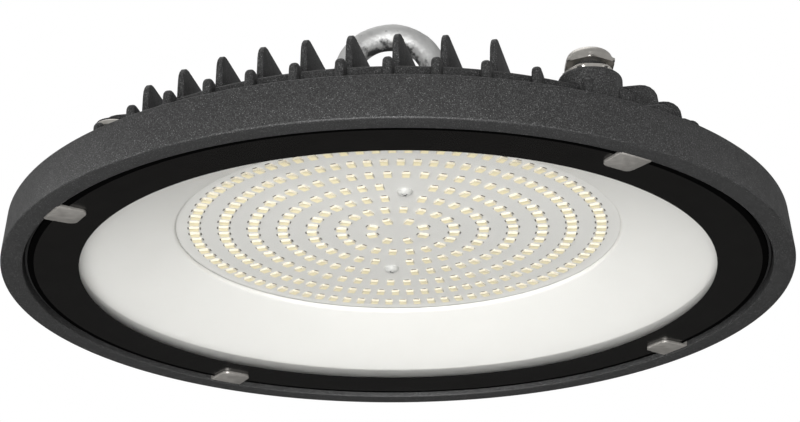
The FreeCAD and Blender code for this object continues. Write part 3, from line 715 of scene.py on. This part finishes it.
def fin(turn, offset, full_top):
    """The plate behind a nub, or None where the sector leaves no room for one."""
    outer = reach(FIN_OUTER_R, offset)
    inner = abs(offset) + FIN_DIAGONAL_GAP
    if abs(offset) < POT_R - FIN_T:
        inner = max(inner, reach(POT_R, offset) - BITE)
    if outer - inner < FIN_CORNER * 2:
        return None
    top = LOW_FIN_TOP if near_boss(turn, offset, outer, inner) else full_top
    base = DECK_TOP - BITE
    corner = min(FIN_CORNER, top - DECK_TOP - BITE)
    outline = rounded([
        (inner, base, 0), (outer, base, 0), (outer, top, corner), (inner, top, 0),
    ])
    return plate(outline, offset, FIN_T, FIN_TIP_T, base, top, FIN_EDGE)


def boss(turn, diameter, top):
    radius = diameter / 2
    return lathe(rounded([
        (0, DECK_Z, 0), (radius, DECK_Z, 0), (radius, top, BOSS_ROUND), (0, top, 0),
    ]), centre=at(turn, BOSS_R))


def housing(material):
    angles = sorted(set(even_angles(BODY_SEGMENTS) + slot_edges()))
    body = lathe(rim_profile, angles)
    add(body, lathe(rounded([
        (POT_R - POT_WALL, DECK_TOP - BITE, 0), (POT_R, DECK_TOP - BITE, 0),
        (POT_R, POT_TOP, LIP_ROUND), (POT_R - POT_WALL, POT_TOP, LIP_ROUND),
    ]), even_angles(BODY_SEGMENTS // 2)))
    add(body, boss(CABLE_TURN, CABLE_BOSS_D, CABLE_BOSS_TOP))
    add(body, boss(VENT_TURN, VENT_BOSS_D, VENT_BOSS_TOP))
    for sector in range(SECTORS):
        turn = FIN_TURN + sector * 360.0 / SECTORS
        drop = SIDE_DROP * (sector % 2)
        place = Matrix.Rotation(math.radians(turn), 4, "Z")
        for step in range(-FINS_PER_SIDE, FINS_PER_SIDE):
            offset = (step + 0.5) * FIN_PITCH
            add(body, nub(offset, NUB_TOP - drop), place)
            tall = fin(turn, offset, FIN_TOP - drop)
            if tall:
                add(body, tall, place)
    return piece("housing_cast", body, [material], ["housing"])


# ================= glass, gasket, clips =================
def front_glass(clear, back, ink, seal):
    """The pane; its front carries the printed border, and beyond it a dead black ring of
    painted shade.
    """
    radius = GLASS_HIGH.x
    made = lathe([
        (0, GLASS_LOW.z), (WINDOW_R, GLASS_LOW.z), (PRINT_R, GLASS_LOW.z),
        (radius - GLASS_CHAMFER, GLASS_LOW.z), (radius, GLASS_LOW.z + GLASS_CHAMFER),
        (radius, GLASS_HIGH.z), (0, GLASS_HIGH.z),
    ], even_angles(BODY_SEGMENTS))
    for face in made.faces:
        out = face.calc_center_median().xy.length
        if face.normal.z > 0.9:  # the back, which faces up
            face.material_index = 1
        # beyond the print: dead black painted shade for the groove by the lip
        elif out > PRINT_R:
            face.material_index = 3
        elif out > WINDOW_R:
            face.material_index = 2
    return piece("glass_pane", made, [clear, back, ink, seal], ["front_glass"])


def glass_gasket(material):
    outer = GASKET_HIGH.x
    made = lathe(rounded([
        (GASKET_INNER_R, GLASS_HIGH.z, 0),
        (GASKET_COLLAR_R, GLASS_HIGH.z, 0),
        (GASKET_COLLAR_R, GASKET_LOW.z, GASKET_ROUND),
        (outer, GASKET_LOW.z, GASKET_ROUND),
        (outer, GASKET_HIGH.z, GASKET_ROUND),
        (GASKET_INNER_R, GASKET_HIGH.z, GASKET_ROUND),
    ]), even_angles(BODY_SEGMENTS))
    return piece("gasket_ring", made, [material], ["glass_gasket"])


def clip_stations():
    """Points along the strip's outer face, tip first, as (out, height, inward normal)."""
    face = CLIP_LOW.z
    up = Vector((0, 1))
    stations = []
    for step in range(ARC_STEPS + 1):
        share = step / ARC_STEPS
        stations.append((CLIP_TIP_R + CLIP_CORNER * share ** 2, face, up))
    bend_start = CLIP_BACK_R - CLIP_BEND
    for step in range(ARC_STEPS * 2 + 1):
        a = math.pi / 2 * step / (ARC_STEPS * 2)
        inward = Vector((-math.sin(a), math.cos(a)))
        stations.append((
            bend_start + CLIP_BEND * math.sin(a), face + CLIP_BEND * (1 - math.cos(a)),
            inward,
        ))
    stations.append((CLIP_BACK_R, CLIP_HIGH.z, Vector((-1, 0))))
    return stations


def clip_half_width(out):
    """Half the strip's width: it tapers to the tip, whose two corners are round."""
    share = (out - CLIP_TIP_R) / (CLIP_BACK_R - CLIP_TIP_R)
    half = (CLIP_TIP_W + (CLIP_ROOT_W - CLIP_TIP_W) * share) / 2
    inside = max(0.0, CLIP_CORNER - (out - CLIP_TIP_R))
    return half - CLIP_CORNER + math.sqrt(CLIP_CORNER ** 2 - inside ** 2)


def clip(index, material):
    made = bmesh.new()
    rows = []
    for out, z, inward in clip_stations():
        half = clip_half_width(out)
        back_out = out + inward.x * CLIP_T
        back_z = z + inward.y * CLIP_T
        rows.append([
            made.verts.new((-half, -out, z)), made.verts.new((half, -out, z)),
            made.verts.new((half, -back_out, back_z)),
            made.verts.new((-half, -back_out, back_z)),
        ])
    skin(made, rows)
    made.faces.new(rows[0])
    made.faces.new(rows[-1])
    bmesh.ops.recalc_face_normals(made, faces=made.faces)
    corners = [e for e in made.edges if e.calc_face_angle(0.0) > CLIP_CORNER_ANGLE]
    bevel(made, corners, CLIP_EDGE, 2, clamp=True)
    made.transform(Matrix.Rotation(math.radians(CLIP_TURNS[index]), 4, "Z"))
    node = "clip_%d" % (index + 1)
    return piece("spring_" + node, made, [material], [node])


# ================= reflector, board screws, LEDs =================
def reflector(material):
    collar_end = REFLECTOR_HIGH.z
    bend = collar_end - REFLECTOR_COLLAR
    mouth = GLASS_HIGH.z + FLANGE_GAP
    flange_r = REFLECTOR_FLANGE_R
    t = REFLECTOR_T
    made = lathe(rounded([
        (REFLECTOR_INNER_R, collar_end, t / 4),
        (REFLECTOR_INNER_R, bend, REFLECTOR_BEND),
        (REFLECTOR_MOUTH_R, mouth, REFLECTOR_BEND),
        (flange_r, mouth, t / 4),
        (flange_r, mouth + t, t / 4),
        (REFLECTOR_MOUTH_R + t / 2, mouth + t, t),
        (REFLECTOR_INNER_R + t, bend + t, t),
        (REFLECTOR_INNER_R + t, collar_end, t / 4),
    ]), even_angles(BODY_SEGMENTS))
    return piece("reflector_cone", made, [material], ["reflector"])


def led_template(face_z, board_z):
    """One package with its solder, facing down at the origin, long side along Y."""
    made = bmesh.new()
    height = board_z - face_z
    size = Matrix.Diagonal((LED_WIDTH, LED_LENGTH, height, 1))
    bmesh.ops.create_cube(made, size=1, matrix=Matrix.Translation((0, 0, height / 2)) @ size)
    upright = [e for e in made.edges if abs(e.verts[0].co.z - e.verts[1].co.z) > height / 2]
    bevel(made, upright, LED_ROUND, 2)
    front = min(made.faces, key=lambda f: f.calc_center_median().z)
    bmesh.ops.inset_individual(made, faces=[front], thickness=LED_FRAME)
    bmesh.ops.translate(made, verts=front.verts, vec=(0, 0, LED_CUP))
    front.material_index = 1
    for side in (-1, 1):
        dash = bmesh.new()
        middle = side * (LED_LENGTH / 2 + SOLDER_GAP + SOLDER_LENGTH / 2)
        size = Matrix.Diagonal((SOLDER_WIDTH, SOLDER_LENGTH, SOLDER_T, 1))
        place = Matrix.Translation((0, middle, height - SOLDER_T / 2))
        bmesh.ops.create_cube(dash, size=1, matrix=place @ size)
        bevel(dash, dash.edges[:], SOLDER_T / 3, 1)
        for face in dash.faces:
            face.material_index = 2
        add(made, dash)
    return made


def board_screw_turns():
    return [BOARD_SCREW_TURN, BOARD_SCREW_TURN + 180]


def led_ring(index, materials):
    count, phase = RING_PLACES[index]
    radius = RING_FIRST_R + index * RING_STEP
    node = "led_ring_%d" % (index + 1)
    face_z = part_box(node)[0].z
    screws = [at(turn, BOARD_SCREW_R) for turn in board_screw_turns()]
    places = []
    for azimuth in even_angles(count, phase):
        gap = min((at(azimuth, radius) - screw).length for screw in screws)
        if gap >= SCREW_CLEARANCE:
            places.append(placed(azimuth, radius, face_z))
    made = scatter(led_template(face_z, BOARD_LOW.z), places)
    return piece("led_packages_%d" % (index + 1), made, materials, [node])


def cross_recess(x, y):
    """Depth of a cross recess at a point of a screw head."""
    along, across = max(abs(x), abs(y)), min(abs(x), abs(y))
    reach_in = 1 - min(1.0, along / (DRIVE_SPAN / 2))
    wall = min(1.0, max(0.0, (DRIVE_WIDTH / 2 - across) / DRIVE_WALL))
    return DRIVE_DEPTH * min(1.0, DRIVE_SLOPE * reach_in) * wall


def pan_head(crown_z, seat_z):
    """A domed head that faces down, with a cross recess, and its shank; the deep part of the
    recess is painted black as shade.
    """
    radius = BOARD_SCREW_HEAD_D / 2
    made = bmesh.new()
    rows = []
    for i in range(HEAD_RINGS + 1):
        share = i / HEAD_RINGS
        row = []
        for azimuth in even_angles(SMALL_SEGMENTS):
            spot = at(azimuth, radius * share)
            drop = (seat_z - crown_z) * (1 - math.sqrt(1 - share ** HEAD_POWER))
            spot.z = crown_z + drop + cross_recess(spot.x, spot.y)
            row.append(made.verts.new(spot))
        rows.append(row)
    shank_r = BOARD_SCREW_D / 2
    for r, z in ((shank_r, seat_z), (shank_r, SCREWS_HIGH.z), (0, SCREWS_HIGH.z)):
        rows.append([made.verts.new(at(a, r, z)) for a in even_angles(SMALL_SEGMENTS)])
    skin(made, rows)
    bmesh.ops.remove_doubles(made, verts=made.verts, dist=WELD)
    bmesh.ops.recalc_face_normals(made, faces=made.faces)
    # faces deep in the recess take the second, black material: painted shade
    for face in made.faces:
        spot = face.calc_center_median()
        if cross_recess(spot.x, spot.y) > DRIVE_PAINTED_SHADE:
            face.material_index = 1
    return made


def board_screws(materials):
    made = scatter(pan_head(SCREWS_LOW.z, BOARD_LOW.z), [
        placed(turn, BOARD_SCREW_R) @ Matrix.Rotation(math.radians(drive), 4, "Z")
        for turn, drive in zip(board_screw_turns(), DRIVE_TURNS)
    ])
    return piece("pan_screws", made, materials, ["board_screws"])


# ================= gland and vent plug =================
def gland_body(material, sleeve):
    flats = hexagon_limit(GLAND_AF, GLAND_CORNER_TURN)
    corner_r = GLAND_AF / math.sqrt(3)
    top = GLAND_FOOT + GLAND_BODY_T
    neck_top = top + GLAND_GAP + CAP_HEX_T
    bore_r = CABLE_BORE_D / 2
    made = lathe(rounded([
        (bore_r, GLAND_LOW.z, 0),
        (GLAND_THREAD_D / 2, GLAND_LOW.z, 0),
        (GLAND_THREAD_D / 2, GLAND_FOOT, 0),
        (corner_r - GLAND_CHAMFER, GLAND_FOOT, 0),
        (corner_r, GLAND_FOOT + GLAND_CHAMFER / 2, 0),
        (corner_r, top - GLAND_CHAMFER / 2, 0),
        (corner_r - GLAND_CHAMFER, top, 0),
        (GLAND_NECK_D / 2, top, 0),
        (GLAND_NECK_D / 2, neck_top, 0),
        (bore_r, neck_top, 0),
    ]), even_angles(SMALL_SEGMENTS, GLAND_CORNER_TURN), at(CABLE_TURN, BOSS_R), flats)
    # the neck between the lower hexagon and the cap takes the second, black material: painted
    # shade in the gap
    for face in made.faces:
        if face.calc_center_median().z > top + HAIR:
            face.material_index = 1
    return piece("gland_lower", made, [material, sleeve], ["gland_body"])


def gland_cap(material):
    flats = hexagon_limit(GLAND_AF, CAP_CORNER_TURN)
    foot = GLAND_FOOT + GLAND_BODY_T + GLAND_GAP
    shoulder = foot + CAP_HEX_T
    crown = shoulder + CAP_DOME_T
    corner_r = GLAND_AF / math.sqrt(3)
    throat_r = CABLE_BORE_D / 2 + CAP_WALL
    dome_r = GLAND_AF / 2 - DOME_STEP
    outline = [
        (GLAND_NECK_D / 2, foot), (corner_r - GLAND_CHAMFER, foot),
        (corner_r, foot + GLAND_CHAMFER / 2), (corner_r, shoulder - GLAND_CHAMFER / 2),
        (corner_r - GLAND_CHAMFER, shoulder),
    ] + dome(throat_r, dome_r, shoulder, CAP_DOME_T) + [
        (throat_r, crown), (CABLE_BORE_D / 2, crown),
        (CABLE_BORE_D / 2, crown - CAP_WALL), (throat_r, crown - CAP_WALL),
        (throat_r, shoulder), (GLAND_NECK_D / 2, shoulder),
    ]
    angles = even_angles(SMALL_SEGMENTS, CAP_CORNER_TURN)
    made = lathe(outline, angles, at(CABLE_TURN, BOSS_R), flats)
    return piece("gland_dome", made, [material], ["gland_cap"])


def gland_seal(material):
    round_r = (SEAL_HIGH.z - SEAL_LOW.z) / 4
    low = GLAND_FOOT + GLAND_BODY_T + GLAND_GAP + CAP_HEX_T
    high = low + CAP_DOME_T - CAP_WALL
    outer = (SEAL_HIGH.x - SEAL_LOW.x) / 2
    made = lathe(rounded([
        (CABLE_BORE_D / 2, low, round_r), (outer, low, round_r),
        (outer, high, round_r), (CABLE_BORE_D / 2, high, round_r),
    ]), centre=at(CABLE_TURN, BOSS_R))
    return piece("cable_seal", made, [material], ["gland_seal"])


def vent_plug(material):
    head_r = VENT_HEAD_D / 2
    shoulder = VENT_SEAT + VENT_RIM_T
    outline = [
        (VENT_BORE_D / 2, shoulder), (VENT_BORE_D / 2, VENT_LOW.z),
        (VENT_THREAD_D / 2, VENT_LOW.z), (VENT_THREAD_D / 2, VENT_SEAT),
        (head_r - LIP_ROUND, VENT_SEAT), (head_r, VENT_SEAT + LIP_ROUND),
    ]
    outline += dome(0, head_r, shoulder, VENT_DOME_T, VENT_FULLNESS)
    outline += [(0, shoulder + VENT_DOME_T), (0, shoulder)]
    made = lathe(outline, centre=at(VENT_TURN, BOSS_R))
    return piece("vent_button", made, [material], ["vent_plug"])


# ================= cover and eye bolt =================
def driver_cover(material):
    boss_r = COVER_BOSS_D / 2
    rise = COVER_HIGH.z - COVER_TOP
    made = lathe(rounded([
        (0, POT_TOP, 0),
        (POT_R, POT_TOP, 0),
        (POT_R, COVER_TOP, COVER_EDGE),
        (boss_r + rise, COVER_TOP, COVER_EDGE),
        (boss_r, COVER_HIGH.z, COVER_EDGE / 2),
        (0, COVER_HIGH.z, 0),
    ]), even_angles(BODY_SEGMENTS // 2))
    return piece("pot_cover", made, [material], ["driver_cover"])


def cover_screws(material):
    corner_r = COVER_SCREW_AF / math.sqrt(3)
    chamfer = COVER_SCREW_CHAMFER
    head_top = COVER_SCREW_HIGH.z
    template = lathe([
        (0, COVER_SCREW_LOW.z), (COVER_SCREW_D / 2, COVER_SCREW_LOW.z),
        (COVER_SCREW_D / 2, COVER_TOP), (corner_r, COVER_TOP),
        (corner_r, head_top - chamfer), (corner_r - 2 * chamfer, head_top), (0, head_top),
    ], limit=hexagon_limit(COVER_SCREW_AF, 0.0))
    turns = even_angles(COVER_SCREWS, COVER_SCREW_TURN)
    made = scatter(template, [placed(turn, COVER_SCREW_R) for turn in turns])
    return piece("cover_hex_screws", made, [material], ["cover_screws"])


def lump(spot):
    """Unevenness of the forging at a point, from 0 to 1."""
    level = 0.5
    for size, share in LUMPS:
        level += share * noise.noise(spot / size)
    return min(1.0, max(0.0, level))


def eye_bolt(material):
    made = bmesh.new()
    rod_r = EYE_ROD_D / 2
    rows = []
    for i in range(EYE_AROUND):
        u = 2 * math.pi * i / EYE_AROUND
        outward = Vector((math.cos(u), 0, math.sin(u)))
        row = []
        for j in range(EYE_ACROSS):
            v = 2 * math.pi * j / EYE_ACROSS
            normal = outward * math.cos(v) + Vector((0, math.sin(v), 0))
            middle = EYE_CENTRE + outward * EYE_MEAN_R
            spot = middle + normal * rod_r
            row.append(made.verts.new(spot - normal * EYE_LUMP * lump(spot)))
        rows.append(row)
    skin(made, rows, closed=True)
    bmesh.ops.recalc_face_normals(made, faces=made.faces)
    ring_foot = EYE_CENTRE.z - EYE_MEAN_R
    collar_top = EYE_SEAT + EYE_COLLAR_T
    add(made, lathe(rounded([
        (0, EYE_LOW.z, 0),
        (EYE_THREAD_D / 2, EYE_LOW.z, 0),
        (EYE_THREAD_D / 2, EYE_SEAT, 0),
        (EYE_COLLAR_D / 2, EYE_SEAT, LIP_ROUND),
        (EYE_COLLAR_D / 2, collar_top, LIP_ROUND),
        (EYE_NECK_D / 2 + EYE_NECK_ROUND, collar_top + EYE_NECK_ROUND, EYE_NECK_ROUND),
        (EYE_NECK_D / 2, ring_foot, 0),
        (0, ring_foot, 0),
    ])))
    return piece("lifting_eye", made, [material], ["eye_bolt"])


# ================= the rest of the CAD nodes =================
def dress(finishes):
    """Gives each CAD node that stays its material."""
    for name, material in finishes.items():
        obj = frame["nodes"][name]
        obj.data.materials.clear()
        obj.data.materials.append(material)


# ================= stage, light and camera =================
FLOOR_Z = -3.0
FLOOR_R = 3.2
CAMERA_DISTANCE = 880.941 * MM
CAMERA_DROP = 20.751            # degrees below the rim's plane
CAMERA_TILT = 1.588
CAMERA_PAN = 0.055
CAMERA_ROLL = -0.396
CAMERA_RISE = 0.6 * MM
LENS = 111.51                   # mm, on the sensor below
SENSOR = 36.0
CAMERA_REACH = 20.0
# Strength of the world as the object sees it, from below to above.
SKY = {"From Min": -0.25, "From Max": 0.35, "To Min": 0.04, "To Max": 0.28}
SOFTBOXES = [                   # name, place, width, height, watts
    ("key_light", (-0.15, -1.65, -0.66), 0.9, 0.6, 46),
    ("under_light", (-0.3, -0.8, -1.5), 1.8, 1.4, 17),
    ("top_light", (-0.3, 0.5, 1.8), 1.4, 1.4, 6),
    ("left_light", (-1.8, 0.2, 0.1), 0.6, 1.4, 11),
    ("right_light", (1.8, 0.2, 0.1), 0.6, 1.4, 4),
]


def floor():
    made = bmesh.new()
    bmesh.ops.create_circle(made, cap_ends=True, segments=SMALL_SEGMENTS, radius=FLOOR_R)
    made.transform(Matrix.Translation((0, 0, FLOOR_Z)))
    mesh = bpy.data.meshes.new("floor")
    made.to_mesh(mesh)
    made.free()
    finish = Finish("pale floor", {"Roughness": 0.8})
    finish.colour(finish.mix(finish.noise(0.4), grey(0.80), grey(0.84)))
    mesh.materials.append(finish.material)
    obj = bpy.data.objects.new("floor", mesh)
    bpy.context.scene.collection.objects.link(obj)


def world():
    """White all round for the camera; for the object, white above and dim below."""
    made = bpy.data.worlds.new("studio")
    made.use_nodes = True
    tree = made.node_tree
    tree.nodes.clear()
    direction = tree.nodes.new("ShaderNodeTexCoord").outputs["Generated"]
    parts = tree.nodes.new("ShaderNodeSeparateXYZ")
    tree.links.new(direction, parts.inputs[0])
    level = tree.nodes.new("ShaderNodeMapRange")
    for socket, value in SKY.items():
        level.inputs[socket].default_value = value
    tree.links.new(parts.outputs["Z"], level.inputs["Value"])
    around = tree.nodes.new("ShaderNodeBackground")
    tree.links.new(level.outputs["Result"], around.inputs["Strength"])
    plain = tree.nodes.new("ShaderNodeBackground")
    plain.inputs["Color"].default_value = (1, 1, 1, 1)
    around.inputs["Color"].default_value = (1, 1, 1, 1)
    seen = tree.nodes.new("ShaderNodeLightPath").outputs["Is Camera Ray"]
    mixed = tree.nodes.new("ShaderNodeMixShader")
    tree.links.new(seen, mixed.inputs[0])
    tree.links.new(around.outputs[0], mixed.inputs[1])
    tree.links.new(plain.outputs[0], mixed.inputs[2])
    output = tree.nodes.new("ShaderNodeOutputWorld")
    tree.links.new(mixed.outputs[0], output.inputs["Surface"])
    bpy.context.scene.world = made


def softbox(name, location, width, height, power):
    """A rectangular area light that faces the object."""
    light = bpy.data.lights.new(name, "AREA")
    light.shape = "RECTANGLE"
    light.size = width
    light.size_y = height
    light.energy = power
    obj = bpy.data.objects.new(name, light)
    obj.location = location
    obj.rotation_euler = (-Vector(location)).to_track_quat("-Z", "Y").to_euler()
    bpy.context.scene.collection.objects.link(obj)


def camera():
    drop = math.radians(CAMERA_DROP)
    aim = math.radians(CAMERA_DROP + CAMERA_TILT)
    pan = math.radians(CAMERA_PAN)
    ahead = Vector((
        math.sin(pan) * math.cos(aim), math.cos(pan) * math.cos(aim), math.sin(aim)))
    right = Vector((math.cos(pan), -math.sin(pan), 0))
    upward = right.cross(ahead)
    roll = Matrix.Rotation(math.radians(CAMERA_ROLL), 3, "Z")
    axes = Matrix((right, upward, -ahead)).transposed() @ roll
    data = bpy.data.cameras.new("camera")
    data.lens = LENS
    data.sensor_width = SENSOR
    data.sensor_fit = "HORIZONTAL"
    data.clip_end = CAMERA_REACH
    obj = bpy.data.objects.new("camera", data)
    place = Vector((
        0, -CAMERA_DISTANCE * math.cos(drop), CAMERA_RISE - CAMERA_DISTANCE * math.sin(drop)))
    obj.matrix_world = Matrix.Translation(place) @ axes.to_4x4()
    bpy.context.scene.collection.objects.link(obj)
    bpy.context.scene.camera = obj


def build():
    coat = powder_coat()
    # black rubber for the seals, used also as painted shade in the gland's neck and the screws'
    # recesses
    rubber_and_painted_shade = rubber("black rubber and painted shade", 0.008)
    nickel = worn_metal("nickel", (0.68, 0.65, 0.60), (0.84, 0.81, 0.76), 0.30, 0.42)
    zinc = galvanised()
    steel = worn_metal("bright steel", grey(0.50), grey(0.66), 0.28, 0.42)
    packages = [
        satin_white("package white", (0.76, 0.70, 0.57), (0.82, 0.76, 0.63), 0.45),
        phosphor(),
        worn_metal("solder", (0.10, 0.09, 0.08), (0.22, 0.20, 0.18), 0.40, 0.55),
    ]
    housing(coat)
    driver_cover(coat)
    # the pane's outer ring is dead black painted shade for the groove by the lip
    front_glass(clear_glass(), glass_back(), black_print(), painted_groove_shade())
    glass_gasket(rubber_and_painted_shade)
    for index in range(len(CLIP_TURNS)):
        clip(index, clip_steel())
    reflector(satin_white("reflector white", (0.81, 0.805, 0.79), (0.86, 0.855, 0.84), 0.5))
    for index in range(len(RING_PLACES)):
        led_ring(index, packages)
    # the second material paints the deep part of each cross recess black as shade
    board_screws([
        satin_white("screw white", (0.50, 0.50, 0.49), (0.56, 0.56, 0.55), 0.35), rubber_and_painted_shade])
    gland_body(nickel, rubber_and_painted_shade)
    gland_cap(nickel)
    gland_seal(rubber_and_painted_shade)
    vent_plug(nickel)
    cover_screws(steel)
    eye_bolt(zinc)
    green = laminate("green laminate", (0.02, 0.12, 0.05), (0.03, 0.16, 0.07))
    dress({
        "led_board": satin_white("board white", (0.72, 0.715, 0.70), (0.77, 0.765, 0.75), 0.45),
        "thermal_pad": rubber("thermal pad", 0.20),
        "gland_o_ring": rubber_and_painted_shade,
        "vent_o_ring": rubber_and_painted_shade,
        "cover_gasket": rubber_and_painted_shade,
        "eye_washer": zinc,
        "eye_nut": zinc,
        "driver_board": green,
        "driver_screws": steel,
        "transformer_core": rubber("ferrite", 0.02),
        "transformer_coil": laminate("coil tape", (0.55, 0.42, 0.05), (0.65, 0.50, 0.08)),
        "driver_capacitors": laminate("sleeve", (0.02, 0.03, 0.06), (0.03, 0.04, 0.08)),
        "driver_choke": rubber("choke", 0.03),
        "driver_terminals": laminate(
            "terminal plastic", (0.03, 0.20, 0.08), (0.04, 0.24, 0.10)),
    })


build()
floor()
world()
for light in SOFTBOXES:
    softbox(*light)
camera()
bpy.context.scene.view_settings.view_transform = "Standard"
